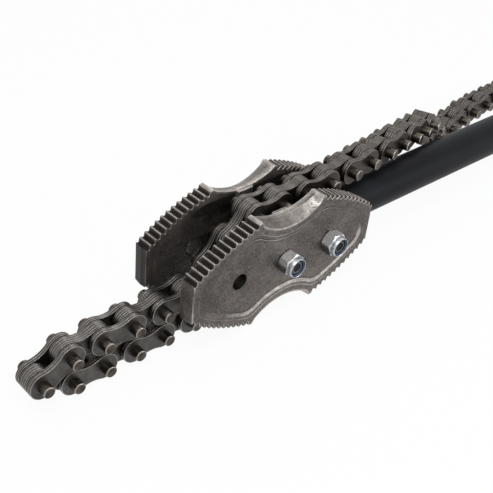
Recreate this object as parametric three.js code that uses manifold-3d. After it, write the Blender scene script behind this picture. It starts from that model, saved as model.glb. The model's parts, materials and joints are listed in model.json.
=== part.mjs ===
// Chain pipe wrench: two double-ended toothed jaws bolted about a forged handle end,
// and a leaf chain with outstanding pins, laid up as the tool lies on a bench.
// Millimetres, +Z up, +X along the handle. The near side of the tool is -Y.
import * as THREE from 'three';
import { mergeVertices } from 'three/addons/utils/BufferGeometryUtils.js';
import Module from 'manifold-3d';

// Chain
const pitch = 28.575;
const linkHeight = 23.4;
const linkWaist = 17.2;
const plateThickness = 2.4;
const innerPlates = 4;
const outerPlates = 2;
const sidePlay = 0.9;
const pinDiameter = 8.4;
const pinLength = 37.8;
const pinChamfer = 0.8;
const pinPlay = 0.45;
const strandGap = 0.7;

// Jaws
const jawLength = 205.8;
const jawHeight = 102.2;
const jawEndHeight = 36.8;
const jawThickness = 14.9;
const jawGap = 44.1;
const waistWidth = 68.6;
const waistDepth = 14.2;
const innerWaistDepth = 8.8;
const waistLedge = 6;
const edgeBulge = 3.6;
const toothDepth = 3;
const cornerLanding = 3.2;
const forgingDraft = 1.4;
const rimWidth = 8.4;
const recessRounding = 7.7;
const recessDepth = 1.8;
const recessSlope = 4.5;
const innerRecessDepth = 1.2;
const bossProtrusion = 7.3;
const bossBase = 18;
const bossTip = 12.4;
const bossDrop = 6;
const bossFall = 2.3;
const boltSpacing = 51.4;

// Fasteners
const boltDiameter = 12.7;
const boltClearance = 0.8;
const hexAcrossFlats = 19.05;
const boltHeadHeight = 7.5;
const nutHexHeight = 8.9;
const nutHeight = 14.3;
const nutCollarDiameter = 17.2;
const nutChamfer = 1.2;
const insertDiameter = 15.2;
const insertHeight = 3;
const insertLip = 0.8;
const boltEndDepth = 3.4;

// Handle
const tubeDiameter = 38.1;
const tubeWall = 3.4;
const tubeStart = 84;
const handleReach = 872;
const shankHeight = 43;
const shankStart = 20;
const spigotLength = 60;
const shankChamfer = 3;
const plugDepth = 12;
const plugRim = 3;
const anchorForward = 26.6;
const anchorDrop = 25.7;
const anchorEyeDiameter = 22;

// Counts of what repeats
const teethPerEdge = 12;
const floorLinks = 5;
const foldedLinks = 3;

// Facets of round forms
const endFacets = 8;
const hollowFacets = 3;
const boreFacets = 10;
const pinFacets = 8;
const waistFacets = 10;
const turnFacets = 24;

// Fits
const fitGap = 0.3;
const seatGap = 0.7;
const overrun = 2;

const wasm = await Module();
wasm.setup();

const degrees = THREE.MathUtils.degToRad;

const steel = (color, roughness, metalness) => new THREE.MeshStandardMaterial({ color, roughness, metalness });
const finishes = {
  forged: () => steel(0x605a56, 0.55, 0.85),
  chain: () => steel(0x4e4a46, 0.42, 0.9),
  pin: () => steel(0x6a625a, 0.3, 0.95),
  zinc: () => steel(0xb9c0c6, 0.25, 1),
  nylon: () => steel(0x1d3348, 0.5, 0),
  tube: () => steel(0x1c1d22, 0.4, 0.2),
};

// A solid between outlines of equal point counts, one at each depth. The outlines lie in X and Z,
// and a positive depth lies toward the near side.
function loft(outlines, depths) {
  const count = outlines[0].length;
  const positions = [];
  outlines.forEach((outline, level) => {
    outline.forEach((point) => positions.push(point.x, -depths[level], point.y));
  });
  const faces = [];
  for (let level = 0; level + 1 < outlines.length; level++) {
    for (let i = 0; i < count; i++) {
      const next = (i + 1) % count;
      const low = level * count;
      const high = low + count;
      faces.push([low + i, low + next, high + next], [low + i, high + next, high + i]);
    }
  }
  const last = (outlines.length - 1) * count;
  for (const [a, b, c] of THREE.ShapeUtils.triangulateShape(outlines[0], [])) faces.push([c, b, a]);
  for (const [a, b, c] of THREE.ShapeUtils.triangulateShape(outlines[outlines.length - 1], [])) {
    faces.push([last + a, last + b, last + c]);
  }
  const geometry = new THREE.BufferGeometry();
  geometry.setAttribute('position', new THREE.Float32BufferAttribute(positions, 3));
  geometry.setIndex(faces.flat());
  return geometry;
}

const slab = (outline, from, to) => loft([outline, outline], [from, to]);

// A flat slab with holes straight through it.
function piercedSlab(outline, holes, from, to) {
  const shape = new THREE.Shape(outline);
  shape.holes = holes.map((hole) => new THREE.Path(hole));
  const geometry = new THREE.ExtrudeGeometry(shape, { depth: to - from, bevelEnabled: false });
  return geometry.rotateX(Math.PI / 2).translate(0, -from, 0);
}

// A turned solid about an axis along Y. The profile gives radius and depth, from axis to axis.
function turned(profile, facets, facetTurn = 0) {
  const points = profile.map(([radius, depth]) => new THREE.Vector2(radius, depth));
  return new THREE.LatheGeometry(points, facets).rotateY(facetTurn).rotateX(Math.PI);
}

function toSolid(geometry) {
  const bare = geometry.clone();
  bare.deleteAttribute('normal');
  bare.deleteAttribute('uv');
  const merged = mergeVertices(bare);
  return new wasm.Manifold(new wasm.Mesh({
    numProp: 3,
    vertProperties: new Float32Array(merged.attributes.position.array),
    triVerts: new Uint32Array(merged.index.array),
  }));
}

function toGeometry(solid) {
  const mesh = solid.getMesh();
  const geometry = new THREE.BufferGeometry();
  geometry.setAttribute('position', new THREE.Float32BufferAttribute(mesh.vertProperties, 3));
  geometry.setIndex(Array.from(mesh.triVerts));
  return geometry;
}

const joined = (...geometries) => geometries.map(toSolid).reduce((whole, piece) => whole.add(piece));
const cut = (solid, ...cutters) => cutters.reduce((rest, cutter) => rest.subtract(toSolid(cutter)), solid);

// Points on a circle whose flats, not its corners, lie at the radius, for a bore.
function boreOutline(radius, facets, x = 0, y = 0) {
  const corner = radius / Math.cos(Math.PI / facets);
  return Array.from({ length: facets }, (_, i) => {
    const angle = ((i + 0.5) / facets) * 2 * Math.PI;
    return new THREE.Vector2(x + corner * Math.cos(angle), y + corner * Math.sin(angle));
  });
}

function arcOutline(x, y, radius, from, to, facets) {
  return Array.from({ length: facets + 1 }, (_, i) => {
    const angle = from + ((to - from) * i) / facets;
    return new THREE.Vector2(x + radius * Math.cos(angle), y + radius * Math.sin(angle));
  });
}

// One closed outline from a quarter given from the end of the tool to its waist.
function fourfold(quarter) {
  const mirrored = (sx, sy) => quarter.map((point) => new THREE.Vector2(point.x * sx, point.y * sy));
  return [
    ...mirrored(1, 1),
    ...mirrored(-1, 1).reverse(),
    ...mirrored(-1, -1),
    ...mirrored(1, -1).reverse(),
  ];
}

// Jaws: toothed edges bow out between the blunt ends and the corners of the hollow waists.
// A waist is a flat ledge toward the inner face, and falls away from there to the outer face.
const jawEnd = new THREE.Vector2(jawLength / 2, jawEndHeight / 2);
const jawCorner = new THREE.Vector2(waistWidth / 2, jawHeight / 2);
const edge = jawCorner.clone().sub(jawEnd);
const edgeNormal = new THREE.Vector2(edge.y, -edge.x).normalize();

function edgePoint(share, depth = 0) {
  const bow = 4 * edgeBulge * share * (1 - share);
  return jawEnd.clone().addScaledVector(edge, share).addScaledVector(edgeNormal, bow - depth);
}

function waistHeightAt(x, hollow, inset = 0) {
  const radius = (hollow ** 2 + (waistWidth / 2) ** 2) / (2 * hollow);
  return jawHeight / 2 - hollow + radius - Math.sqrt(Math.max(0, (radius + inset) ** 2 - x ** 2));
}

function jawOutline(draft, hollow) {
  const toothed = 1 - cornerLanding / edge.length();
  const quarter = [new THREE.Vector2(jawEnd.x - draft, jawEnd.y)];
  for (let tooth = 0; tooth < teethPerEdge; tooth++) {
    if (tooth > 0) quarter.push(edgePoint((toothed * tooth) / teethPerEdge));
    quarter.push(edgePoint((toothed * (tooth + 0.5)) / teethPerEdge, toothDepth));
  }
  quarter.push(edgePoint(toothed), jawCorner);
  for (let i = 1; i < waistFacets / 2; i++) {
    const x = jawCorner.x * (1 - (2 * i) / waistFacets);
    quarter.push(new THREE.Vector2(x, waistHeightAt(x, hollow, draft)));
  }
  return fourfold(quarter);
}

// The recess keeps an even rim, so its outline is the jaw's own, drawn in and rounded at its corners.
function recessOutline(inset, hollow) {
  const endX = jawEnd.x - inset;
  const endShare = shareWhile((point) => point.x > endX, inset);
  const turnShare = shareWhile((point) => point.y < waistHeightAt(point.x, hollow, inset), inset);
  const endCorner = edgePoint(endShare, inset);
  const turn = edgePoint(turnShare, inset);
  const back = recessRounding / edge.length();
  const onWaist = (x) => new THREE.Vector2(x, waistHeightAt(x, hollow, inset));
  const quarter = [
    ...bend(new THREE.Vector2(endX, endCorner.y - recessRounding), endCorner, edgePoint(endShare + back, inset)),
    edgePoint((endShare + turnShare) / 2, inset),
    ...bend(edgePoint(turnShare - back, inset), turn, onWaist(turn.x - recessRounding)),
    onWaist((turn.x - recessRounding) / 2),
  ];
  return fourfold(quarter);
}

// How far along the sunk edge line the test still holds, as a share of the toothed edge.
function shareWhile(test, depth) {
  let low = 0;
  let high = 1;
  for (let step = 0; step < 30; step++) {
    const share = (low + high) / 2;
    if (test(edgePoint(share, depth))) low = share;
    else high = share;
  }
  return low;
}

const bend = (start, corner, end) => new THREE.QuadraticBezierCurve(start, corner, end).getPoints(3);

function makeJaw() {
  const body = loft(
    [
      jawOutline(forgingDraft / 2, innerWaistDepth),
      jawOutline(0, innerWaistDepth),
      jawOutline(forgingDraft, waistDepth),
    ],
    [0, waistLedge, jawThickness],
  );
  const bossTop = jawHeight / 2 - innerWaistDepth - bossDrop;
  const boss = loft(
    [rectangle(bossTip, 2 * (bossTop - bossFall)), rectangle(bossBase, 2 * bossTop)],
    [-bossProtrusion, innerRecessDepth + fitGap],
  );
  const sunk = (width) => recessOutline(width, waistDepth);
  const outerRecess = loft(
    [sunk(rimWidth + recessSlope), sunk(rimWidth), sunk(rimWidth)],
    [jawThickness - recessDepth, jawThickness, jawThickness + overrun],
  );
  const innerRecess = loft(
    [sunk(rimWidth), sunk(rimWidth), sunk(rimWidth + recessSlope)],
    [-overrun, 0, innerRecessDepth],
  );
  const holes = [-boltSpacing, 0, boltSpacing].map((x) => slab(
    boreOutline(boltDiameter / 2 + boltClearance, boreFacets, x),
    -bossProtrusion - overrun,
    jawThickness + overrun,
  ));
  return toGeometry(cut(cut(toSolid(body), outerRecess, innerRecess).add(toSolid(boss)), ...holes));
}

function rectangle(width, height) {
  return [[1, 1], [-1, 1], [-1, -1], [1, -1]].map(([sx, sy]) => (
    new THREE.Vector2((sx * width) / 2, (sy * height) / 2)
  ));
}

// Outline of two round ends joined by their outer tangents.
function lug(first, firstRadius, second, secondRadius, facets) {
  const along = second.clone().sub(first);
  const heading = along.angle();
  const spread = Math.acos((firstRadius - secondRadius) / along.length());
  return [
    ...arcOutline(first.x, first.y, firstRadius, heading + spread, heading + 2 * Math.PI - spread, 2 * facets),
    ...arcOutline(second.x, second.y, secondRadius, heading - spread, heading + spread, facets),
  ];
}

// Handle: a forged end with a tongue between the bosses, a block that fills the gap behind them,
// a forked ear for the chain, and a round spigot in the tube.
const anchor = new THREE.Vector2(-anchorForward, -anchorDrop);
const innerPackWidth = innerPlates * plateThickness;
const outerPackWidth = outerPlates * plateThickness;
const tongueWidth = jawGap - 2 * (bossProtrusion + fitGap);
const blockWidth = jawGap - 2 * fitGap;
const spigotRadius = tubeDiameter / 2 - tubeWall - fitGap;

function makeHandleEnd() {
  const half = shankHeight / 2;
  const eye = anchorEyeDiameter / 2;
  const tongueSide = tongueWidth / 2;
  const blockSide = blockWidth / 2;
  const ear = slab(lug(new THREE.Vector2(), half, anchor, eye, 8), -tongueSide, tongueSide);
  const bar = slab(
    rectangle(tubeStart - fitGap, shankHeight).map((point) => point.setX(point.x + (tubeStart - fitGap) / 2)),
    -tongueSide,
    tongueSide,
  );
  const blockOutline = (inset) => {
    const length = tubeStart - fitGap - shankStart;
    return rectangle(length - 2 * inset, shankHeight - 2 * inset)
      .map((point) => point.setX(point.x + shankStart + length / 2));
  };
  const block = loft(
    [blockOutline(shankChamfer), blockOutline(0), blockOutline(0), blockOutline(shankChamfer)],
    [-blockSide, shankChamfer - blockSide, blockSide - shankChamfer, blockSide],
  );
  const spigot = turned(
    [[0, 0], [spigotRadius, 0], [spigotRadius, spigotLength + overrun], [0, spigotLength + overrun]],
    turnFacets,
  ).rotateZ(Math.PI / 2).translate(tubeStart - overrun, 0, 0);
  const slotRadius = linkHeight / 2 + 2 * fitGap;
  const slotSide = innerPackWidth / 2 + sidePlay;
  const slot = slab(boreOutline(slotRadius, 2 * boreFacets, anchor.x, anchor.y), -slotSide, slotSide);
  const mouth = slab(
    rectangle(4 * slotRadius, 2 * slotRadius).map((point) => (
      point.add(new THREE.Vector2(-2 * slotRadius, 0)).add(anchor)
    )),
    -slotSide,
    slotSide,
  );
  const boltHoles = [0, boltSpacing].map((x) => slab(
    boreOutline(boltDiameter / 2 + boltClearance, boreFacets, x),
    -blockSide - overrun,
    blockSide + overrun,
  ));
  const pinHole = slab(
    boreOutline(pinDiameter / 2 + fitGap, boreFacets, anchor.x, anchor.y),
    -tongueSide - overrun,
    tongueSide + overrun,
  );
  return toGeometry(cut(joined(ear, bar, block, spigot), slot, mouth, pinHole, ...boltHoles));
}

function makeTube() {
  const outer = tubeDiameter / 2;
  const inner = outer - tubeWall;
  const profile = [[inner, 0], [outer - fitGap, 0], [outer, fitGap]];
  const length = handleReach - tubeStart;
  profile.push([outer, length - fitGap], [outer - fitGap, length], [inner, length], [inner, 0]);
  return turned(profile, turnFacets).rotateZ(Math.PI / 2).translate(tubeStart, 0, 0);
}

// The plug closes the free end of the tube and stands against its rim.
function makePlug() {
  const inner = tubeDiameter / 2 - tubeWall - fitGap;
  const rim = tubeDiameter / 2 - fitGap;
  const profile = [[0, 0], [inner, 0], [inner, plugDepth + fitGap], [rim, plugDepth + fitGap]];
  profile.push([rim, plugDepth + plugRim - fitGap], [rim - fitGap, plugDepth + plugRim]);
  profile.push([0, plugDepth + plugRim]);
  return turned(profile, turnFacets).rotateZ(Math.PI / 2).translate(handleReach - plugDepth, 0, 0);
}

function makeAnchorPin() {
  return makePin(tongueWidth - 2 * fitGap);
}

function makePin(length) {
  const radius = pinDiameter / 2;
  const half = length / 2;
  const profile = [[0, -half], [radius - pinChamfer, -half], [radius, pinChamfer - half]];
  profile.push([radius, half - pinChamfer], [radius - pinChamfer, half], [0, half]);
  return turned(profile, pinFacets, Math.PI / pinFacets);
}

// Fasteners: hex bolts from the far side, and lock nuts with a nylon ring on the near side.
const seat = jawGap / 2 + jawThickness - recessDepth + fitGap;
const hexCorner = hexAcrossFlats / Math.sqrt(3);

function hexagon(radius, turn) {
  return Array.from({ length: 6 }, (_, i) => {
    const angle = turn + (i * Math.PI) / 3;
    return new THREE.Vector2(radius * Math.cos(angle), radius * Math.sin(angle));
  });
}

function makeBolt(x, turn) {
  const radius = boltDiameter / 2;
  const end = seat + nutHeight - boltEndDepth;
  const shank = turned(
    [[0, -seat - fitGap], [radius, -seat - fitGap], [radius, end - nutChamfer], [radius - nutChamfer, end], [0, end]],
    turnFacets / 2,
  );
  const head = loft(
    [hexagon(hexCorner - nutChamfer, turn), hexagon(hexCorner, turn), hexagon(hexCorner, turn)],
    [-seat - boltHeadHeight, nutChamfer - seat - boltHeadHeight, -seat],
  );
  return toGeometry(joined(shank, head)).translate(x, 0, 0);
}

function makeNut(x, turn) {
  const collar = nutCollarDiameter / 2;
  const bore = boltDiameter / 2 + fitGap;
  const hex = loft(
    [hexagon(hexCorner, turn), hexagon(hexCorner, turn), hexagon(hexCorner - nutChamfer, turn)],
    [seat, seat + nutHexHeight - nutChamfer, seat + nutHexHeight],
  );
  const top = turned(
    [[0, seat], [collar, seat], [collar, seat + nutHeight - insertLip],
      [collar - insertLip, seat + nutHeight], [0, seat + nutHeight]],
    turnFacets,
  );
  const hole = turned(
    [[0, seat - overrun], [bore, seat - overrun], [bore, seat + nutHeight - insertHeight - insertLip],
      [insertDiameter / 2 + fitGap, seat + nutHeight - insertHeight - insertLip],
      [insertDiameter / 2 + fitGap, seat + nutHeight + overrun], [0, seat + nutHeight + overrun]],
    turnFacets / 2,
    Math.PI / (turnFacets / 2),
  );
  return toGeometry(cut(joined(hex, top), hole)).translate(x, 0, 0);
}

function makeInsert(x) {
  const inner = boltDiameter / 2 + fitGap;
  const outer = insertDiameter / 2;
  const base = seat + nutHeight - insertHeight - insertLip + fitGap;
  const lid = seat + nutHeight - insertLip;
  return turned(
    [[inner, base], [outer, base], [outer, lid], [inner, lid], [inner, base]],
    turnFacets / 2,
    Math.PI / (turnFacets / 2),
  ).translate(x, 0, 0);
}

// Chain links: plates with round ends and hollow waists, from the first pin at X zero.
function linkOutline() {
  const end = linkHeight / 2;
  const waist = linkWaist / 2;
  const hollow = ((pitch / 2) ** 2 + waist ** 2 - end ** 2) / (2 * (end - waist));
  const turn = Math.atan2(waist + hollow, pitch / 2);
  const spread = Math.PI / 2 - turn;
  return [
    ...arcOutline(pitch, 0, end, turn - Math.PI, Math.PI - turn, endFacets),
    ...arcOutline(pitch / 2, waist + hollow, hollow, spread - Math.PI / 2, -spread - Math.PI / 2, hollowFacets)
      .slice(1, -1),
    ...arcOutline(0, 0, end, turn, 2 * Math.PI - turn, endFacets),
    ...arcOutline(pitch / 2, -waist - hollow, hollow, Math.PI / 2 + spread, Math.PI / 2 - spread, hollowFacets)
      .slice(1, -1),
  ];
}

const pinPlaces = [0, pitch];
const outerPackSide = innerPackWidth / 2 + sidePlay;

function makeInnerLink() {
  const bores = pinPlaces.map((x) => boreOutline(pinDiameter / 2 + pinPlay, pinFacets, x));
  return piercedSlab(linkOutline(), bores, -innerPackWidth / 2, innerPackWidth / 2);
}

// The outer plates are riveted fast to their two pins, which stand out past them on both sides.
function makeOuterLink() {
  const pack = (from) => slab(linkOutline(), from, from + outerPackWidth);
  const pins = pinPlaces.map((x) => makePin(pinLength).translate(x, 0, 0));
  return toGeometry(joined(pack(outerPackSide), pack(-outerPackSide - outerPackWidth), ...pins));
}

// Course of the chain: the tool lies on the rear corners of its jaws and on the end of its tube.
const tilt = Math.atan((jawHeight / 2 - tubeDiameter / 2) / (handleReach - waistWidth / 2));
const boltHeight = (jawHeight / 2) * Math.cos(tilt) + (waistWidth / 2) * Math.sin(tilt);
const strandHeight = linkHeight / 2;

function handleToFloor(x, z) {
  return new THREE.Vector3(
    x * Math.cos(tilt) + z * Math.sin(tilt),
    0,
    boltHeight - x * Math.sin(tilt) + z * Math.cos(tilt),
  );
}

// The mean slope at which links of these relative slopes gain the rise together.
function meanSlope(offsets, rise) {
  const sines = offsets.reduce((sum, offset) => sum + Math.sin(offset), 0);
  const cosines = offsets.reduce((sum, offset) => sum + Math.cos(offset), 0);
  return Math.asin(rise / pitch / Math.hypot(sines, cosines)) - Math.atan2(sines, cosines);
}

function chainCourse() {
  const course = [];
  const pin = handleToFloor(anchor.x, anchor.y);
  const lay = (slope, veer = 0) => {
    course.push({ pin: pin.clone(), slope, veer });
    const flat = pitch * Math.cos(slope);
    pin.add(new THREE.Vector3(flat * Math.cos(veer), flat * Math.sin(veer), pitch * Math.sin(slope)));
  };

  // Forward along the floor, and folded back over itself.
  lay(Math.PI + Math.asin((pin.z - strandHeight) / pitch));
  for (let i = 0; i < floorLinks; i++) lay(Math.PI);
  const fold = Math.asin((linkHeight + strandGap) / (2 * pitch));
  lay(Math.PI - fold);
  lay(fold);
  for (let i = 0; i < foldedLinks; i++) lay(0);
  lay(degrees(3));

  // Up between the jaws, to lie on the handle's shank with the jaws' bosses between two of its pins.
  const crossing = shankHeight / 2 + seatGap + linkHeight / 2;
  const offsets = [degrees(-16), degrees(10), degrees(6)];
  const below = (pin.z - boltHeight) * Math.cos(tilt) + pin.x * Math.sin(tilt);
  const climb = meanSlope(offsets, crossing - below);
  for (const offset of offsets) lay(climb + offset - tilt);
  for (const rise of [1.8, 2.2, 2.4]) lay(degrees(rise) - tilt);

  // Over the tube and off its far side.
  const drift = [[1, 3], [0.4, 6], [-3, 9], [-4, 12], [-9, 14.5], [-10, 17], [-11, 19]];
  for (const [slope, veer] of drift) lay(degrees(slope) - tilt, degrees(veer));

  // Down to the floor behind it, where the free end lies.
  const drops = [degrees(3), degrees(-12), degrees(9)];
  const dropVeers = [20, 20, 20];
  const descent = meanSlope(drops, strandHeight - pin.z);
  drops.forEach((offset, i) => lay(descent + offset, degrees(dropVeers[i])));
  for (const veer of [17, 13, 9, 5, 1, 0]) lay(0, degrees(veer));
  return course;
}

function node(name, geometry, finish, parent) {
  const mesh = new THREE.Mesh(geometry, finishes[finish]());
  mesh.name = name;
  parent.add(mesh);
  return mesh;
}

const wrench = new THREE.Group();
const tool = new THREE.Group();
tool.position.z = boltHeight;
tool.rotation.y = tilt;
wrench.add(tool);

const nearJaw = node('jaw_near', makeJaw(), 'forged', tool);
nearJaw.position.y = -jawGap / 2;
const farJaw = node('jaw_far', makeJaw(), 'forged', tool);
farJaw.position.y = jawGap / 2;
farJaw.rotation.z = Math.PI;

node('handle_end', makeHandleEnd(), 'forged', tool);
node('handle_tube', makeTube(), 'tube', tool);
node('handle_plug', makePlug(), 'tube', tool);

const fastened = [['front', 0, degrees(20)], ['rear', boltSpacing, degrees(50)]];
for (const [place, x, turn] of fastened) {
  node(`jaw_bolt_${place}`, makeBolt(x, turn), 'chain', tool);
  node(`jaw_nut_${place}`, makeNut(x, turn), 'zinc', tool);
  node(`nut_insert_${place}`, makeInsert(x), 'nylon', tool);
}
node('anchor_pin', makeAnchorPin(), 'pin', tool).position.set(anchor.x, 0, anchor.y);

chainCourse().forEach(({ pin, slope, veer }, index) => {
  const number = String(index + 1).padStart(2, '0');
  const place = (mesh) => {
    mesh.position.copy(pin);
    mesh.rotation.set(0, -slope, veer, 'ZYX');
  };
  if (index % 2 === 0) {
    place(node(`inner_link_${number}`, makeInnerLink(), 'chain', wrench));
  } else {
    place(node(`outer_link_${number}`, makeOuterLink(), 'chain', wrench));
  }
});

// The origin is on the floor, under the middle of the whole laid-up tool.
wrench.updateMatrixWorld(true);
const middle = new THREE.Box3().setFromObject(wrench, true).getCenter(new THREE.Vector3());
wrench.position.set(-middle.x, -middle.y, 0);

export default wrench;
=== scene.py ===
# Looks for a chain pipe wrench: forged jaws, tube handle and a leaf chain, laid on a pale floor.
# Sizes in the pieces' dictionaries are millimetres, and everything is placed in metres, +Z up.
import json
import math

import bmesh
import bpy
from mathutils import Euler, Matrix, Vector
from mathutils.geometry import tessellate_polygon


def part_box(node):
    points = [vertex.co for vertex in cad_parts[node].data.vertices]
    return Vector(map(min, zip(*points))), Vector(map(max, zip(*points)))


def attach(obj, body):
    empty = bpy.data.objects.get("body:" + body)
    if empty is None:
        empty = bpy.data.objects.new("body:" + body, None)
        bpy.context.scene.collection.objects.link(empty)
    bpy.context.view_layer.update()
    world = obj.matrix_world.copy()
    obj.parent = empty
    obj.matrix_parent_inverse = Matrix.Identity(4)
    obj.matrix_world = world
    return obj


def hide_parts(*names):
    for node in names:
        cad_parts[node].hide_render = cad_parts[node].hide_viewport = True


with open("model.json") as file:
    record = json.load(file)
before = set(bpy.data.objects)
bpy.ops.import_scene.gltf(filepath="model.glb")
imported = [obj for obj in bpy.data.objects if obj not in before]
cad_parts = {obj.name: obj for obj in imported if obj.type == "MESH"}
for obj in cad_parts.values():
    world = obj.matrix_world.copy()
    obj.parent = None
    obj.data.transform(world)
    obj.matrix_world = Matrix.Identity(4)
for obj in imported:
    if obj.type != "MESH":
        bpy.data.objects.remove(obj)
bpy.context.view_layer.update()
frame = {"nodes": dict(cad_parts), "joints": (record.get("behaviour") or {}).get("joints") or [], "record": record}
nodes = frame["nodes"]
scene = bpy.context.scene
print("frame loaded with", len(nodes), "nodes")


# Where the tool lies: x along the handle from the front bolt, z up its side. The handle's end face
# is "reach" millimetres from that bolt.
def findToolFrame(reach=875.0):
    endFace = next(m for m in frame["record"]["mounts"] if m["name"] == "handle_end_face")
    along = Vector(endFace["axis"]).normalized()
    across = Vector((0, 1, 0))
    upward = along.cross(across)
    bolt = Vector(endFace["pos_m"]) - along * reach * 0.001
    columns = Matrix((along, across, upward)).transposed().to_4x4()
    return Matrix.Translation(bolt) @ columns


toolFrame = findToolFrame()
millimetres = Matrix.Scale(0.001, 4)


# Materials
class Wire:
    def __init__(self, graph, socket):
        self.graph = graph
        self.socket = socket

    def out(self, name):
        return Wire(self.graph, self.socket.node.outputs[name])

    def maths(self, operation, first, second):
        return self.graph.add("ShaderNodeMath", {"operation": operation}, [first, second])

    def __add__(self, other):
        return self.maths("ADD", self, other)

    def __radd__(self, other):
        return self.maths("ADD", other, self)

    def __sub__(self, other):
        return self.maths("SUBTRACT", self, other)

    def __rsub__(self, other):
        return self.maths("SUBTRACT", other, self)

    def __mul__(self, other):
        return self.maths("MULTIPLY", self, other)


class Graph:
    def __init__(self, tree):
        self.tree = tree
        tree.nodes.clear()

    def add(self, kind, settings=None, sockets=()):
        node = self.tree.nodes.new(kind)
        for name, value in (settings or {}).items():
            setattr(node, name, value)
        pairs = sockets.items() if isinstance(sockets, dict) else enumerate(sockets)
        for name, value in pairs:
            if isinstance(value, Wire):
                self.tree.links.new(value.socket, node.inputs[name])
            else:
                node.inputs[name].default_value = value
        return Wire(self, node.outputs[0]) if node.outputs else node

    def blend(self, share, first, second):
        # sockets 6 and 7 are the Mix node's two colours, and output 2 is its colour
        first, second = ((*c, 1) if isinstance(c, tuple) else c for c in (first, second))
        node = self.add("ShaderNodeMix", {"data_type": "RGBA"}, {0: share, 6: first, 7: second})
        return Wire(self, node.socket.node.outputs[2])

    def noise(self, kind, stretch=(1, 1, 1), seed=0.0):
        # the seed moves the pattern, so that no two noises of a material agree
        scale, detail, roughness = kind
        place = self.add("ShaderNodeTexCoord").out("Object")
        place = self.add("ShaderNodeMapping", {}, {
            "Vector": place, "Location": (seed, seed * 0.7, -seed), "Scale": stretch})
        return self.add("ShaderNodeTexNoise", {"noise_dimensions": "3D"}, {
            "Vector": place, "Scale": scale, "Detail": detail, "Roughness": roughness})

    def ramp(self, value, low, high):
        return self.add("ShaderNodeMapRange", {"clamp": True},
                        {0: value, 1: low, 2: high, 3: 0.0, 4: 1.0})

    def wearAndLight(self):
        return self.add("ShaderNodeAttribute", {"attribute_name": "wearAndLight"}).out("Fac")


def startMaterial(name):
    material = bpy.data.materials.new(name)
    material.use_nodes = True
    return material, Graph(material.node_tree)


def closeMaterial(graph, sockets, bump=None):
    # a bump is given as its height, its strength and its depth in metres
    if bump is not None:
        height, strength, distance = bump
        sockets["Normal"] = graph.add("ShaderNodeBump", {}, {
            "Height": height, "Strength": strength, "Distance": distance})
    shader = graph.add("ShaderNodeBsdfPrincipled", {}, sockets)
    graph.add("ShaderNodeOutputMaterial", {}, {"Surface": shader})


# A look holds colours, the base roughness and noises, each as its scale, detail and roughness.
# A bump is its strength, and its depth in metres.
forgedLook = {"dark": (0.084, 0.074, 0.069), "light": (0.19, 0.169, 0.157),
              "wornAndLit": (0.46, 0.43, 0.4), "grimeAndShade": (0.018, 0.016, 0.014), "rough": 0.44,
              "mottle": (60.0, 5.0, 0.62), "patches": (14.0, 3.0, 0.5),
              "grain": (620.0, 3.0, 0.65), "pits": (650.0, 3.0, 0.6),
              "scuffs": (160.0, 4.0, 0.7), "flecks": (820.0, 2.0, 0.5), "bump": (0.8, 0.00055)}


def makeForgedSteel(look=forgedLook):
    material, graph = startMaterial("forgedSteel")
    mottle = graph.noise(look["mottle"])
    patches = graph.noise(look["patches"], seed=3.0)
    grain = graph.noise(look["grain"], seed=5.0)
    pits = graph.ramp(graph.noise(look["pits"], seed=9.0), 0.56, 0.72)
    scuffs = graph.ramp(graph.noise(look["scuffs"], seed=12.0), 0.35, 0.75)
    flecks = graph.ramp(graph.noise(look["flecks"], seed=15.0), 0.64, 0.72)
    tone = graph.ramp(mottle * 0.5 + patches * 0.35 + grain * 0.6, 0.6, 0.86)
    skin = graph.blend(tone, look["dark"], look["light"])
    skin = graph.blend(pits * 0.55, skin, look["grimeAndShade"])
    skin = graph.blend(flecks * 0.55, skin, look["wornAndLit"])
    # worn edges and, on the jaws, painted highlights show through the skin, and grime and painted shade lie over
    # both
    wearAndLight = graph.wearAndLight()
    rubbedAndLit = graph.ramp(wearAndLight * (0.5 + scuffs * 0.7), 0.12, 0.8)
    grimeAndShade = graph.ramp(wearAndLight * -1.0, 0.0, 1.0)
    colour = graph.blend(rubbedAndLit, skin, look["wornAndLit"])
    colour = graph.blend(grimeAndShade * 0.85, colour, look["grimeAndShade"])
    rough = look["rough"] + mottle * 0.16 - rubbedAndLit * 0.17 + pits * 0.1
    height = grain * 0.6 - pits * 0.9 + mottle * 0.8
    closeMaterial(graph, {"Base Color": colour, "Metallic": 1.0, "Roughness": rough},
                  (height, *look["bump"]))
    return material


# "stained" are the places along x, in metres, between which the stain fades out
chainLook = {"dark": (0.052, 0.048, 0.045), "light": (0.125, 0.117, 0.11),
             "wornAndLit": (0.34, 0.32, 0.3), "stain": (0.052, 0.04, 0.032),
             "grimeAndShade": (0.012, 0.011, 0.01), "rough": 0.36,
             "mottle": (120.0, 4.0, 0.6), "streaks": (420.0, 2.0, 0.6),
             "scuffs": (300.0, 3.0, 0.7), "stained": (-0.36, -0.22), "bump": (0.25, 0.00025)}
boltLook = {**chainLook, "dark": (0.016, 0.016, 0.017), "light": (0.04, 0.04, 0.042),
            "wornAndLit": (0.16, 0.16, 0.165), "stain": (0.024, 0.022, 0.021), "rough": 0.42}


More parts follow.
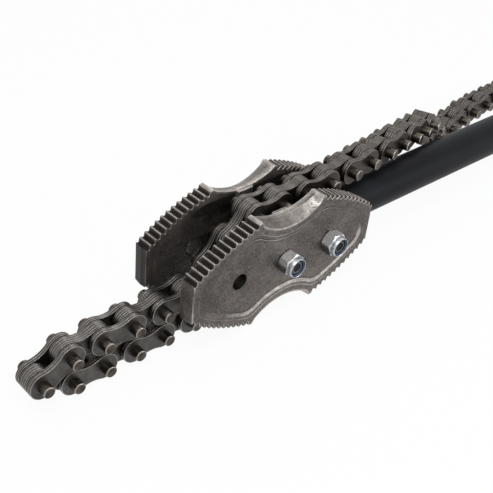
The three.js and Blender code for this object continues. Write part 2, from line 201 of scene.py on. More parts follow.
def makeChainSteel(name, look):
    material, graph = startMaterial(name)
    mottle = graph.noise(look["mottle"], seed=21.0)
    streaks = graph.noise(look["streaks"], (0.25, 1.0, 1.0), 23.0)
    scuffs = graph.ramp(graph.noise(look["scuffs"], seed=25.0), 0.3, 0.7)
    tone = graph.ramp(mottle * 0.7 + streaks * 0.3, 0.34, 0.72)
    skin = graph.blend(tone, look["dark"], look["light"])
    # the strand over the handle is browner and less rubbed than the one in front
    place = graph.add("ShaderNodeTexCoord").out("Object")
    along = graph.add("ShaderNodeSeparateXYZ", {}, [place]).out("X")
    stained = graph.ramp(along + mottle * 0.06, *look["stained"])
    skin = graph.blend(stained * 0.6, skin, look["stain"])
    # the plates' bright rubbed edges are partly wear and partly painted highlights
    wearAndLight = graph.wearAndLight()
    rubbedAndLit = graph.ramp(wearAndLight * (0.7 + scuffs * 0.3), 0.1, 0.9) * (1.0 - stained * 0.45)
    colour = graph.blend(rubbedAndLit, skin, look["wornAndLit"])
    colour = graph.blend(graph.ramp(wearAndLight * -1.0, 0.0, 1.0) * 0.6, colour, look["grimeAndShade"])
    rough = look["rough"] + streaks * 0.14 - rubbedAndLit * 0.12
    closeMaterial(graph, {"Base Color": colour, "Metallic": 1.0, "Roughness": rough},
                  (mottle * 0.6 + streaks * 0.4, *look["bump"]))
    return material


pinLook = {"dark": (0.036, 0.03, 0.025), "light": (0.12, 0.105, 0.09), "wornAndLit": (0.34, 0.31, 0.28),
           "rough": 0.26, "rings": (700.0, 2.0, 0.6), "stain": (170.0, 4.0, 0.65),
           "bump": (0.15, 0.0002)}


def makePinSteel(look=pinLook):
    material, graph = startMaterial("pinSteel")
    rings = graph.noise(look["rings"], (1.0, 0.2, 1.0), 31.0)
    stain = graph.noise(look["stain"], seed=33.0)
    skin = graph.blend(graph.ramp(stain, 0.36, 0.68), look["dark"], look["light"])
    colour = graph.blend(graph.ramp(graph.wearAndLight(), 0.15, 0.9), skin, look["wornAndLit"])
    rough = look["rough"] + rings * 0.2
    closeMaterial(graph, {"Base Color": colour, "Metallic": 1.0, "Roughness": rough},
                  (rings, *look["bump"]))
    return material


zincLook = {"dull": (0.36, 0.39, 0.43), "bright": (0.66, 0.68, 0.69), "wornAndLit": (0.78, 0.8, 0.81),
            "grimeAndShade": (0.05, 0.05, 0.052), "metal": 0.82, "rough": 0.22,
            "tint": (380.0, 4.0, 0.65), "grain": (900.0, 2.0, 0.5), "bump": (0.12, 0.0002)}


def makeZincSteel(look=zincLook):
    material, graph = startMaterial("zincSteel")
    tint = graph.ramp(graph.noise(look["tint"], seed=41.0), 0.36, 0.66)
    grain = graph.noise(look["grain"], seed=43.0)
    wearAndLight = graph.wearAndLight()
    skin = graph.blend(tint, look["dull"], look["bright"])
    colour = graph.blend(graph.ramp(wearAndLight, 0.2, 1.0), skin, look["wornAndLit"])
    # painted shade on the nuts' sides that face down and to the front, and darkening in hollows
    colour = graph.blend(graph.ramp(wearAndLight * -1.0, 0.0, 0.8) * 0.8, colour, look["grimeAndShade"])
    rough = look["rough"] + tint * 0.12
    closeMaterial(graph, {"Base Color": colour, "Metallic": look["metal"], "Roughness": rough},
                  (grain, *look["bump"]))
    return material


nylonLook = {"dark": (0.008, 0.024, 0.05), "light": (0.018, 0.05, 0.095), "rough": 0.38,
             "haze": (300.0, 3.0, 0.6)}


def makeNylon(look=nylonLook):
    material, graph = startMaterial("nylonRing")
    haze = graph.noise(look["haze"], seed=51.0)
    colour = graph.blend(haze, look["dark"], look["light"])
    closeMaterial(graph, {"Base Color": colour, "Roughness": look["rough"] + haze * 0.15})
    return material


paintLook = {"dark": (0.004, 0.0044, 0.006), "light": (0.008, 0.0088, 0.0118), "rough": 0.4,
             "sheen": 0.1, "peel": (420.0, 2.0, 0.5), "haze": (25.0, 3.0, 0.5),
             "bump": (0.12, 0.00025)}


def makeBlackPaint(look=paintLook):
    material, graph = startMaterial("blackPaint")
    peel = graph.noise(look["peel"], seed=61.0)
    haze = graph.noise(look["haze"], seed=63.0)
    colour = graph.blend(graph.ramp(haze, 0.3, 0.7), look["dark"], look["light"])
    rough = look["rough"] + haze * 0.12
    closeMaterial(graph, {
        "Base Color": colour, "Roughness": rough, "Specular IOR Level": look["sheen"]},
        (peel, *look["bump"]))
    return material


forgedSteel = makeForgedSteel()
chainSteel = makeChainSteel("chainSteel", chainLook)
boltSteel = makeChainSteel("boltSteel", boltLook)
pinSteel = makePinSteel()
zincSteel = makeZincSteel()
nylonRing = makeNylon()
blackPaint = makeBlackPaint()
print("materials made")


# Mesh helpers
def rise(value, start, run):
    # nought as far as the start, and one from the end of the run
    return min(1.0, max(0.0, value - start) / run)


def markWearAndLight(mesh, reach, wornAndLit):
    # Wear and painted light run from minus one, darkened, to one, bright. An edge that stands out is
    # rubbed by how many radians it folds, less the little that a round surface's own facets make, and a
    # hollow one is darkened. The reach is the fold past those facets that is worn in full. On the chain's
    # plates the bright edges are partly painted highlights, and the jaws and nuts are given painted
    # highlights and painted shade of their own.
    facets, standsOut = 0.28, 0.1
    shape = bmesh.new()
    shape.from_mesh(mesh)
    wearAndLight = []
    for vertex in shape.verts:
        folds = sorted(edge.calc_face_angle_signed(0.0) for edge in vertex.link_edges)
        outward = sum(max(0.0, f) for f in folds[-2:])
        inward = sum(min(0.0, f) for f in folds[:2])
        fold = rise(outward, facets, reach)
        if outward < standsOut:
            fold = -rise(-inward, facets, reach)
        wearAndLight.append(wornAndLit(vertex.co, fold) if wornAndLit else fold)
    shape.free()
    layer = mesh.attributes.new("wearAndLight", "FLOAT", "POINT")
    layer.data.foreach_set("value", wearAndLight)


def objectFrom(name, mesh, material):
    mesh.materials.clear()
    mesh.materials.append(material)
    made = bpy.data.objects.new(name, mesh)
    scene.collection.objects.link(made)
    return made


def bake(holder):
    # the mesh that the holder's modifiers end in
    graph = bpy.context.evaluated_depsgraph_get()
    return bpy.data.meshes.new_from_object(
        holder.evaluated_get(graph), preserve_all_data_layers=True, depsgraph=graph)


def smoothByAngle(mesh, angle):
    mesh.polygons.foreach_set("use_smooth", [True] * len(mesh.polygons))
    mesh.set_sharp_from_angle(angle=math.radians(angle))


def finish(name, shape, material, place=None, wearReach=0.9, angle=32.0, recalc=True, wornAndLit=None):
    # closes a mesh in millimetres, marks its worn edges and painted light, and puts it in place
    joinWithin = 0.0005
    if recalc:
        bmesh.ops.remove_doubles(shape, verts=shape.verts, dist=joinWithin)
        bmesh.ops.recalc_face_normals(shape, faces=shape.faces)
    mesh = bpy.data.meshes.new(name)
    shape.to_mesh(mesh)
    shape.free()
    markWearAndLight(mesh, wearReach, wornAndLit)
    smoothByAngle(mesh, angle)
    holder = objectFrom(name, mesh, material)
    weighted = holder.modifiers.new("weighted", "WEIGHTED_NORMAL")
    weighted.keep_sharp = True
    weighted.weight = 80
    solid = bake(holder)
    holder.modifiers.clear()
    holder.data = solid
    bpy.data.meshes.remove(mesh)
    solid.name = name
    solid.transform((toolFrame if place is None else place) @ millimetres)
    solid.update()
    return holder


def addLoop(shape, points):
    return [shape.verts.new(point) for point in points]


def addWalls(shape, loops):
    for low, high in zip(loops, loops[1:]):
        for i in range(len(low)):
            j = (i + 1) % len(low)
            shape.faces.new((low[i], low[j], high[j], high[i]))


def addPlane(shape, loops):
    # a flat face inside the first loop and outside the others
    flat = [[Vector(v.co) for v in loop] for loop in loops]
    corners = [v for loop in loops for v in loop]
    for a, b, c in tessellate_polygon(flat):
        if len({a, b, c}) == 3:
            shape.faces.new((corners[a], corners[b], corners[c]))


def arc(x, z, radius, start, end, steps):
    return [(x + radius * math.cos(start + (end - start) * i / steps),
             z + radius * math.sin(start + (end - start) * i / steps)) for i in range(steps + 1)]


def inset(points, amount):
    # draws a counterclockwise outline in, along each corner's own bisector
    if not amount:
        return list(points)
    drawn = []
    for i, here in enumerate(points):
        before, after = Vector(points[i - 1]), Vector(points[(i + 1) % len(points)])
        one = (Vector(here) - before).normalized()
        two = (after - Vector(here)).normalized()
        inward = Vector((-one.y - two.y, one.x + two.x))
        inward = inward.normalized() if inward.length > 1e-6 else Vector((-one.y, one.x))
        lean = max(0.6, inward.dot(Vector((-one.y, one.x))))
        moved = Vector(here) + inward * amount / lean
        drawn.append((moved.x, moved.y))
    return drawn


def addTurned(shape, profile, steps, along=(0, 1, 0), start=(0, 0, 0)):
    # a round form about a line, from profile points of radius and distance
    axis = Vector(along).normalized()
    side = axis.orthogonal().normalized()
    other = axis.cross(side)
    loops = []
    for radius, distance in profile:
        centre = Vector(start) + axis * distance
        if radius < 1e-6:
            loops.append([shape.verts.new(centre)])
            continue
        loops.append([shape.verts.new(centre + (side * math.cos(t) + other * math.sin(t)) * radius)
                      for t in (2 * math.pi * i / steps for i in range(steps))])
    for low, high in zip(loops, loops[1:]):
        for i in range(steps):
            j = (i + 1) % steps
            ring = [low[0]] if len(low) == 1 else [low[i], low[j]]
            ring += [high[0]] if len(high) == 1 else [high[j], high[i]]
            if len(ring) > 2:
                shape.faces.new(ring)


# Jaws: toothed edges, two-level hollow waists and a sunk face inside an even rim.
# "tooth" is one tooth's outline, as shares of its pitch and its depth. The lists of steps follow a
# wall: how far down and how far drawn in, and for a boss how far out, how wide and how high. The
# two ends of a bore say how far past the hole's radius and how far from the face.
jaw = {"length": 205.8, "height": 102.2, "endHeight": 36.8, "thickness": 14.9, "gap": 44.1,
       "waistWidth": 68.6, "waistDepth": 14.2, "innerWaistDepth": 8.8, "waistSteps": 22,
       "ledge": 6.0, "bulge": 3.6, "teeth": 12, "toothDepth": 3.0, "landing": 3.2, "draft": 1.4,
       "round": 0.8, "faded": 4.2, "rim": 8.4, "rounding": 7.7, "recess": 1.8, "innerRecess": 1.2,
       "boltSpacing": 51.4, "hole": 7.15, "bossCorner": 1.2, "sunkDrawn": 0.6,
       "sunkShare": 0.007, "ledgeGroove": (0.4, 0.08),
       "boreIn": [(1.9, 0.0), (0.5, 0.0), (0.0, 0.5)],
       "boreOut": [(0.0, 0.6), (0.6, 0.0), (1.9, 0.0)],
       "tooth": [(0.0, 0.0), (0.07, 0.02), (0.15, 0.2), (0.4, 0.88), (0.46, 0.98), (0.54, 0.98),
                 (0.6, 0.88), (0.85, 0.2), (0.93, 0.02)],
       "outerSteps": [(0.0, -1.6), (0.0, -0.3), (0.12, 0.05), (0.5, 0.7), (1.0, 2.2), (1.5, 3.3),
                      (1.3, 3.9), (1.6, 4.5), (1.8, 5.2), (1.8, 6.4)],
       "innerSteps": [(0.0, -1.6), (0.0, -0.3), (0.1, 0.05), (0.6, 1.8), (1.1, 3.9), (1.2, 4.8),
                      (1.2, 6.0)],
       "bossSteps": [(-1.5, 25.0, 42.0), (-0.6, 20.4, 42.0), (0.6, 18.0, 42.0), (2.3, 16.4, 41.8),
                     (2.7, 16.0, 41.2), (2.8, 15.2, 36.0), (4.6, 13.9, 34.9), (6.5, 12.9, 34.3),
                     (7.1, 12.4, 34.1), (7.3, 11.6, 33.7)]}

jawEnd = Vector((jaw["length"] / 2, jaw["endHeight"] / 2))
jawCorner = Vector((jaw["waistWidth"] / 2, jaw["height"] / 2))
jawEdge = jawCorner - jawEnd
edgeOut = Vector((jawEdge.y, -jawEdge.x)).normalized()


def edgePoint(share, depth=0.0):
    bow = 4 * jaw["bulge"] * share * (1 - share)
    return jawEnd + jawEdge * share + edgeOut * (bow - depth)


def waistHeight(x, hollow, depth):
    radius = (hollow ** 2 + jawCorner.x ** 2) / (2 * hollow)
    return jawCorner.y - hollow + radius - math.sqrt(max(0.0, (radius + depth) ** 2 - x * x))


def fourfold(quarter):
    turned = []
    for across, up, backwards in ((1, 1, False), (-1, 1, True), (-1, -1, False), (1, -1, True)):
        part = [(x * across, z * up) for x, z in quarter]
        turned += part[::-1] if backwards else part
    return turned


def jawOutline(draft, hollow, sunk):
    # a sunk outline has the same points, but runs below the teeth, stops short of the waist and is
    # drawn in at the blunt end and along the waist
    toothed = 1 - jaw["landing"] / jawEdge.length
    drawn = draft + sunk * jaw["sunkDrawn"]
    end = jawEnd.x - drawn
    quarter = [(end, jawEnd.y * 0.5), (end, jawEnd.y - sunk)]
    for tooth in range(jaw["teeth"]):
        # the first tooth starts in its groove, at the blunt end
        for along, deep in jaw["tooth"][0 if tooth else 3:]:
            share = toothed * (tooth + along) / jaw["teeth"]
            quarter.append(tuple(edgePoint(share, max(sunk, deep * jaw["toothDepth"]))))
    quarter.append(tuple(edgePoint(toothed, sunk)))
    quarter.append(tuple(edgePoint(1 - sunk * jaw["sunkShare"], sunk)))
    for i in range(1, jaw["waistSteps"] // 2):
        x = jawCorner.x * (1 - 2 * i / jaw["waistSteps"])
        quarter.append((x, waistHeight(x, hollow, drawn)))
    return fourfold(quarter)


def jawLevel(depth, sunk=0.0):
    # the ledge of a waist is flat, and from there the waist falls away to the outer face
    ledge = jaw["ledge"]
    if depth <= ledge:
        return jawOutline(jaw["draft"] / 2 * (1 - depth / ledge), jaw["innerWaistDepth"], sunk)
    share = (depth - ledge) / (jaw["thickness"] - ledge)
    near = jawOutline(0.0, jaw["innerWaistDepth"], sunk)
    far = jawOutline(jaw["draft"], jaw["waistDepth"], sunk)
    return [(a[0] + (b[0] - a[0]) * share, a[1] + (b[1] - a[1]) * share) for a, b in zip(near, far)]


def shareWhile(test, halvings=30):
    # the share of the toothed edge up to which the test holds
    low, high = 0.0, 1.0
    for _ in range(halvings):
        middle = (low + high) / 2
        low, high = (middle, high) if test(middle) else (low, middle)
    return low


def recessOutline(depth):
    # the jaw's outline drawn in by the depth, without teeth and with its corners rounded
    endX = jawEnd.x - depth
    back = jaw["rounding"] / jawEdge.length
    spans = 6

    def bend(start, corner, end, steps=7):
        return [start * (1 - t) ** 2 + corner * 2 * t * (1 - t) + end * t ** 2
                for t in (i / steps for i in range(steps + 1))]

    def onWaist(x):
        return Vector((x, waistHeight(x, jaw["waistDepth"], depth)))

    def belowWaist(share):
        point = edgePoint(share, depth)
        return point.y < waistHeight(point.x, jaw["waistDepth"], depth)

    endShare = shareWhile(lambda share: edgePoint(share, depth).x > endX)
    turnShare = shareWhile(belowWaist)
    first, last = endShare + back, turnShare - back
    endTurn, turn = edgePoint(endShare, depth), edgePoint(turnShare, depth)
    quarter = bend(Vector((endX, endTurn.y - jaw["rounding"])), endTurn, edgePoint(first, depth))
    quarter += [edgePoint(first + (last - first) * i / spans, depth) for i in range(1, spans)]
    onto = turn.x - jaw["rounding"]
    quarter += bend(edgePoint(last, depth), turn, onWaist(onto))
    quarter += [onWaist(onto * (1 - i / spans)) for i in range(1, spans)]
    return fourfold([(p.x, p.y) for p in quarter])


# Wear and painted light of a jaw. "hole" is how far the painted shade goes round a hole, how far the
# grey ring goes, and that ring's wear. "run" is where the chain runs: how far past the waist, how far
# inside the rim, and how much it is darkened. The rim's "foot", a painted highlight, and the waists'
# "slope" have a least wear, and a gain on it from a place along x and over a length. Other pairs are
# for below and above, the rim's and waist's edges being painted brighter below as a highlight, and
# "ends" is for the blunt ends at -x and +x. "footFrom" and "slopeBand" are millimetres below the face
# and the waist's edge.
jawMarks = {"skin": 0.3, "hole": (0.2, 1.2, -0.1), "boss": 0.7, "run": (20.0, 3.0, -0.78),
            "foot": (0.12, 0.75, -75.0, 45.0), "footFrom": 0.9,
            "slope": (0.16, 0.4, -22.0, 40.0), "slopeBand": 3.0, "waistEdge": (2.0, 1.3),
            "ends": (0.22, -0.95), "rimEdge": (2.0, 1.2), "rimFades": (1.1, 0.95),
            "fadeLength": 25.0, "besideTeeth": 0.8, "crest": 0.9, "groove": 0.5}


def jawWearAndLight(point, fold):
    # the slopes of the waists are ground bright, painted shade darkens the grooves between the teeth
    # and the holes, and one blunt end and the place where the chain runs are darkened
    x, z, depth = abs(point.x), abs(point.z), -point.y
    upper = point.z >= 0
    skin, thick = jawMarks["skin"], jaw["thickness"]
    onFace = not skin < depth < thick - skin
    fromHole = min(math.hypot(x - centre, z) for centre in (0, jaw["boltSpacing"]))
    boreShade, halo, haloWear = jawMarks["hole"]
    # painted shade in the holes' bores, and a grey ring round them
    if fromHole < jaw["hole"] + halo:
        return -1.0 if fromHole < jaw["hole"] + boreShade else haloWear
    if depth < -0.2:
        return fold * jawMarks["boss"]
    past, inside, runWear = jawMarks["run"]
    inRun = x < jawCorner.x + past and z < jawCorner.y - jaw["rim"] - inside
    if inRun and depth < jaw["innerRecess"] + 0.1:
        return min(fold, 0.0) + runWear
    if jawMarks["footFrom"] < thick - depth < jaw["recess"] - 0.1 and not upper:
        # a painted highlight on the foot of the rim below, where its wall faces up, less towards the front
        least, gain, begin, length = jawMarks["foot"]
        return least + gain * rise(point.x, begin, length)
    if x < jawCorner.x - 0.5:
        outside = jaw["ledge"] < depth < thick - 0.1
        if outside and z > waistHeight(x, jaw["waistDepth"], jawMarks["slopeBand"]):
            least, gain, begin, length = jawMarks["slope"]
            return max(fold, least + gain * rise(point.x, begin, length))
        # edges along the waists are rubbed, and painted brighter below as a highlight
        return max(-1.0, min(1.0, fold * jawMarks["waistEdge"][upper]))
    if x > jawEnd.x - jaw["draft"] - 0.1 and not onFace:
        return jawMarks["ends"][point.x >= 0]
    corner = Vector((x, z))
    share = (corner - jawEnd).dot(jawEdge) / jawEdge.length_squared
    deep = (edgePoint(share) - corner).dot(edgeOut)
    belowTeeth = deep >= jaw["toothDepth"] + skin
    if onFace or belowTeeth:
        # the rim's edge, rubbed and painted brighter below as a highlight, fades towards the teeth
        fades = jawMarks["rimFades"][upper] * rise(x, jawCorner.x, jawMarks["fadeLength"])
        edge = jawMarks["rimEdge"][upper] - fades if belowTeeth else jawMarks["besideTeeth"]
        return max(-1.0, min(1.0, fold * edge))
    if deep < 0.15:
        return min(1.0, abs(fold) * jawMarks["crest"])
    # painted shade in the grooves between the teeth, darker the deeper
    return -jawMarks["groove"] * (1 + deep / jaw["toothDepth"])


def addBoss(shape, side):
    # the chain's pins hook over it, its flanks are hollow, and its shoulder is flush with the waist
    # as far out as the ends of the pins allow
    corner = jaw["bossCorner"]
    low = jaw["hole"] + 0.1 + corner
    loops = []
    for out, wide, top in jaw["bossSteps"]:
        across, high = wide / 2 - corner, top - corner
        middles = ((across, high), (-across, high), (-across, low), (across, low))
        points = []
        for quarter, (x, z) in enumerate(middles):
            points += arc(x, z, corner, quarter * math.pi / 2, (quarter + 1) * math.pi / 2, 4)
        loops.append(addLoop(shape, [(x, out, z * side) for x, z in points]))
    addWalls(shape, loops)
    shape.faces.new(loops[0])
    shape.faces.new(loops[-1])


def makeJaw(name, far):
    shape = bmesh.new()
    thick, edge, faded = jaw["thickness"], jaw["round"], jaw["faded"]

    def ring(points, depth):
        return addLoop(shape, [(x, -depth, z) for x, z in points])

    # rounded edges, and a faint groove along the ledge of the waists
    soft, ledge = edge * 0.3, jaw["ledge"]
    wide, deep = jaw["ledgeGroove"]
    skin = [(0.0, edge), (soft, soft), (edge, 0.0), (ledge - wide, 0.0), (ledge, deep),
            (ledge + wide, 0.0), (thick - edge, 0.0), (thick - soft, soft), (thick, edge)]
    walls = [ring(jawLevel(0.0, faded), 0.0)]
    walls += [ring(inset(jawLevel(depth), drawn), depth) for depth, drawn in skin]
    walls.append(ring(jawLevel(thick, faded), thick))
    addWalls(shape, walls)
    rim = jaw["rim"]
    outer = [ring(recessOutline(rim + drawn), thick - sunk) for sunk, drawn in jaw["outerSteps"]]
    inner = [ring(recessOutline(rim + drawn), sunk) for sunk, drawn in jaw["innerSteps"]]
    addWalls(shape, outer)
    addWalls(shape, inner)
    addPlane(shape, [walls[-1], outer[0]])
    addPlane(shape, [walls[0], inner[0]])
    low, high, hole = jaw["innerRecess"], thick - jaw["recess"], jaw["hole"]
    bore = [(hole + wider, low + inside) for wider, inside in jaw["boreIn"]]
    bore += [(hole + wider, high - inside) for wider, inside in jaw["boreOut"]]
    lowHoles, highHoles = [], []
    for x in (-jaw["boltSpacing"], 0, jaw["boltSpacing"]):
        loops = [ring(arc(x, 0, radius, 0, 2 * math.pi, 40)[:-1], depth) for radius, depth in bore]
        addWalls(shape, loops)
        lowHoles.append(loops[0])
        highHoles.append(loops[-1])
    addPlane(shape, [inner[-1]] + lowHoles)
    addPlane(shape, [outer[-1]] + highHoles)
    addBoss(shape, 1)
    addBoss(shape, -1)
    # the far jaw is the same forging, turned end for end
    turn = Matrix.Rotation(math.pi, 4, "Z") if far else Matrix.Identity(4)
    side = Matrix.Translation((0, (1 if far else -1) * jaw["gap"] / 2 * 0.001, 0))
    return finish(name, shape, forgedSteel, toolFrame @ side @ turn, angle=26.0, wornAndLit=jawWearAndLight)


for name, far in (("jaw_near", False), ("jaw_far", True)):
    piece = makeJaw("forged_" + name, far)
    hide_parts(name)
    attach(piece, "wrench")
print("jaws made")


# Handle: a tube, its plug and the forging between the jaws
tube = {"radius": 19.05, "start": 84.0, "end": 872.0, "wall": 3.4, "round": 0.9, "soft": 0.25,
        "rings": 12}
plug = {"inside": -12.0, "fits": 3.7, "edge": 0.3, "rim": 1.8, "crown": 3.0}
forging = {"bevel": 0.8, "sharp": 28.0}


def makeTube():
    shape = bmesh.new()
    r, length, wall = tube["radius"], tube["end"] - tube["start"], tube["wall"]
    edge, soft = tube["round"], tube["soft"]
    profile = [(r - wall, 0), (r - edge, 0), (r - soft, soft), (r, edge)]
    profile += [(r, length * i / tube["rings"]) for i in range(1, tube["rings"])]
    profile += [(radius, length - at) for radius, at in profile[3::-1]]
    profile.append((r - wall, 0))
    addTurned(shape, profile, 96, (1, 0, 0), (tube["start"], 0, 0))
    return finish("black_tube", shape, blackPaint, wearReach=4.0)


def makePlug():
    shape = bmesh.new()
    r, edge, crown = tube["radius"], plug["edge"], plug["crown"]
    profile = [(0, plug["inside"]), (r - plug["fits"], plug["inside"]), (r - plug["fits"], edge),
               (r - 2 * edge, edge), (r - edge, 2 * edge), (r - edge, plug["rim"]),
               (r - 4 * edge, crown - edge), (r - crown, crown), (0, crown)]
    addTurned(shape, profile, 72, (1, 0, 0), (tube["end"], 0, 0))
    return finish("tube_plug", shape, blackPaint, wearReach=4.0)


def makeHandleEnd():
    # the solid's own shape, with its flat faces made whole again and its edges softened
    shape = bmesh.new()
    shape.from_mesh(nodes["handle_end"].data)
    bmesh.ops.remove_doubles(shape, verts=shape.verts, dist=0.00001)
    bmesh.ops.dissolve_limit(shape, angle_limit=math.radians(1), verts=shape.verts,
                             edges=shape.edges)
    edges = [e for e in shape.edges if e.calc_face_angle(0) > math.radians(forging["sharp"])]
    bmesh.ops.bevel(shape, geom=edges, offset=forging["bevel"] * 0.001, segments=3, profile=0.6,
                    affect="EDGES", clamp_overlap=True)
    shape.transform(Matrix.Scale(1000, 4))
    return finish("forged_handle_end", shape, forgedSteel, Matrix.Identity(4), recalc=False)


for piece, node, slotName in ((makeTube(), "handle_tube", "black_tube"),
                              (makePlug(), "handle_plug", "black_plug"),
                              (makeHandleEnd(), "handle_end", "forged_steel")):
    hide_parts(node)
    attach(piece, "wrench")
print("handle made")


# Bolts with hollow ends in lock nuts with a nylon ring. Heights run from the seat, where the nuts
# and the bolt heads meet the jaws. A cone turns the hexagons' edges: it starts "coneInside" the
# flats, "scallop" is its slope, and "coneDrop" makes it cut the middles of the flats too. The lists
# of steps say how far in from the collar, the lip or the bolt's radius and how far down from the
# top or the end. The nuts' sides that face down and to the front get painted shade: the last two
# entries say which way those sides face and how closely.
hardware = {"flats": 19.05, "seat": 35.45, "hex": 9.9, "height": 14.3, "collar": 9.3, "lip": 8.1,
            "head": 7.5, "bolt": 6.35, "bore": 6.65, "boltEnd": 12.7, "thread": 1.954,
            "threads": 11, "threadDepth": 0.75, "threadEnds": 1.2, "threadCrest": 0.2,
            "threadFlank": 1.0, "coneInside": 0.1, "coneDrop": 0.15, "scallop": 0.55,
            "turns": {"front": 20.0, "rear": 50.0},
            "collarSteps": [(0.1, 3.6), (0.3, 2.0), (0.6, 0.9), (0.9, 0.25)],
            "lipSteps": [(-0.1, 0.0), (0.05, 0.1), (0.0, 0.6), (0.0, 3.6)],
            "endSteps": [(0.0, 1.2), (0.0, 0.8), (0.9, 0.0), (2.3, 0.0), (2.7, 0.5)],
            "ring": [(6.5, 10.8), (8.0, 10.8), (8.0, 13.1), (7.8, 13.4), (6.8, 13.4), (6.5, 13.1),
                     (6.5, 10.8)],
            "shadeFrom": (-0.77, -0.64), "shadeLean": (0.62, 0.2)}


def hexEdge(angle, turn):
    # how far the hexagon's outline is from the middle, at an angle
    within = (angle - turn + math.pi / 6) % (math.pi / 3) - math.pi / 6
    return hardware["flats"] / 2 / math.cos(math.pi / 6 - abs(within))


def addHex(shape, x, turn, low, high, chamferLow, side, top):
    # a hexagon whose faces end in the curved scallops that a cone leaves, on the near side or,
    # with a side of -1, on the far one. It goes on with the rings of the top.
    steps = 72
    flat = hardware["flats"] / 2
    cone = flat - hardware["coneInside"]
    angles = [2 * math.pi * i / steps + turn for i in range(steps)]

    def drop(angle):
        return max(0.0, hexEdge(angle, turn) - flat + hardware["coneDrop"]) * hardware["scallop"]

    def loop(radiusOf, depthOf):
        points = []
        for a in angles:
            radius = radiusOf(a)
            points.append((x + radius * math.cos(a), -side * depthOf(a), radius * math.sin(a)))
        return addLoop(shape, points)

    loops = []
    if chamferLow:
        loops.append(loop(lambda a: flat - 0.4, lambda a: low))
        loops.append(loop(lambda a: cone, lambda a: low + 0.05))
    loops.append(loop(lambda a: hexEdge(a, turn), lambda a: low + drop(a) * chamferLow))
    loops.append(loop(lambda a: hexEdge(a, turn), lambda a: high - drop(a)))
    loops.append(loop(lambda a: cone, lambda a: high))
    for radius, depth in top:
        loops.append(loop(lambda a: radius, lambda a: depth))
    addWalls(shape, loops)
    return loops


def makeNut(place, x):
    shape = bmesh.new()
    turn = math.radians(hardware["turns"][place])
    seat, collar, hexTop = hardware["seat"], hardware["collar"], hardware["seat"] + hardware["hex"]
    top, lip, bore = seat + hardware["height"], hardware["lip"], hardware["bore"]
    # up the collar, over its lip, down inside to where the nylon ring sits, and through the bore
    crown = [(collar, hexTop + 0.3)]
    crown += [(collar - drawn, top - down) for drawn, down in hardware["collarSteps"]]
    crown += [(lip - drawn, top - down) for drawn, down in hardware["lipSteps"]]
    crown += [(bore, top - 3.8), (bore, seat + 0.8), (bore + 0.6, seat)]
    loops = addHex(shape, x, turn, seat, hexTop, True, 1, crown)
    addWalls(shape, [loops[-1], loops[0]])

    def shadedSidesAndWear(point, fold):
        # painted shade on the sides that face down and to the front
        across = Vector((point.x - x, point.z))
        closeness = across.normalized().dot(Vector(hardware["shadeFrom"]))
        least, spread = hardware["shadeLean"]
        onSide = across.length > hardware["flats"] / 2 - 0.05
        return -rise(closeness, least, spread) if onSide and closeness > least else fold

    return finish("lock_nut_" + place, shape, zincSteel, angle=28.0, wornAndLit=shadedSidesAndWear)


def makeRing(place, x):
    shape = bmesh.new()
    profile = [(r, -hardware["seat"] - d) for r, d in hardware["ring"]]
    addTurned(shape, profile, 56, (0, 1, 0), (x, 0, 0))
    return finish("nylon_ring_" + place, shape, nylonRing, wearReach=9.0)


def makeBolt(place, x):
    shape = bmesh.new()
    turn = math.radians(hardware["turns"][place])
    seat, radius = hardware["seat"], hardware["bolt"]
    end, top = seat + hardware["boltEnd"], seat + hardware["head"]
    flat = hardware["flats"] / 2
    face = [(flat - 1.2, top), (flat - 1.5, top - 0.25), (0.4, top - 0.25)]
    loops = addHex(shape, x, turn, seat, top, False, -1, face)
    shape.faces.new(loops[0])
    shape.faces.new(loops[-1])
    # the rolled thread, drawn as close rings near the nut's end
    profile = [(0, -seat), (radius, -seat)]
    root = radius - hardware["threadDepth"]
    crest, flank = hardware["threadCrest"], hardware["threadFlank"]
    for i in range(hardware["threads"]):
        at = end - hardware["threadEnds"] - (hardware["threads"] - i) * hardware["thread"]
        profile += [(radius, at), (radius, at + crest), (root, at + flank),
                    (root, at + flank + crest)]
    profile += [(radius - drawn, end - down) for drawn, down in hardware["endSteps"]]
    profile.append((0, profile[-1][1]))
    addTurned(shape, [(r, -d) for r, d in profile], 48, (0, 1, 0), (x, 0, 0))
    return finish("hex_bolt_" + place, shape, boltSteel, angle=28.0)


for place, x in (("front", 0.0), ("rear", jaw["boltSpacing"])):
    for piece, node, slotName in ((makeBolt(place, x), "jaw_bolt_", "chain_steel"),
                                  (makeNut(place, x), "jaw_nut_", "zinc_steel"),
                                  (makeRing(place, x), "nut_insert_", "nylon")):
        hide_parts(node + place)
        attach(piece, "wrench")
print("fasteners made")


# Chain: one tree stacks the plates of a link and sets its pins, with a little play. "gap" is left
# between plates, "turnPlay" is degrees and "pinTurn" radians.
chain = {"pitch": 28.575, "height": 23.0, "waist": 17.0, "plate": 2.4, "gap": 0.08, "round": 0.32,
         "innerPlates": 4, "outerPlates": 2, "sidePlay": 0.9, "shiftPlay": 0.06, "turnPlay": 0.3,
         "pin": 5.0, "pinLength": 37.8, "pinTurn": 3.0,
         "pinCap": [(1.3, 0.02), (0.7, 0.0), (0.5, 0.05), (0.08, 0.47), (0.0, 0.7), (0.0, 1.5)]}


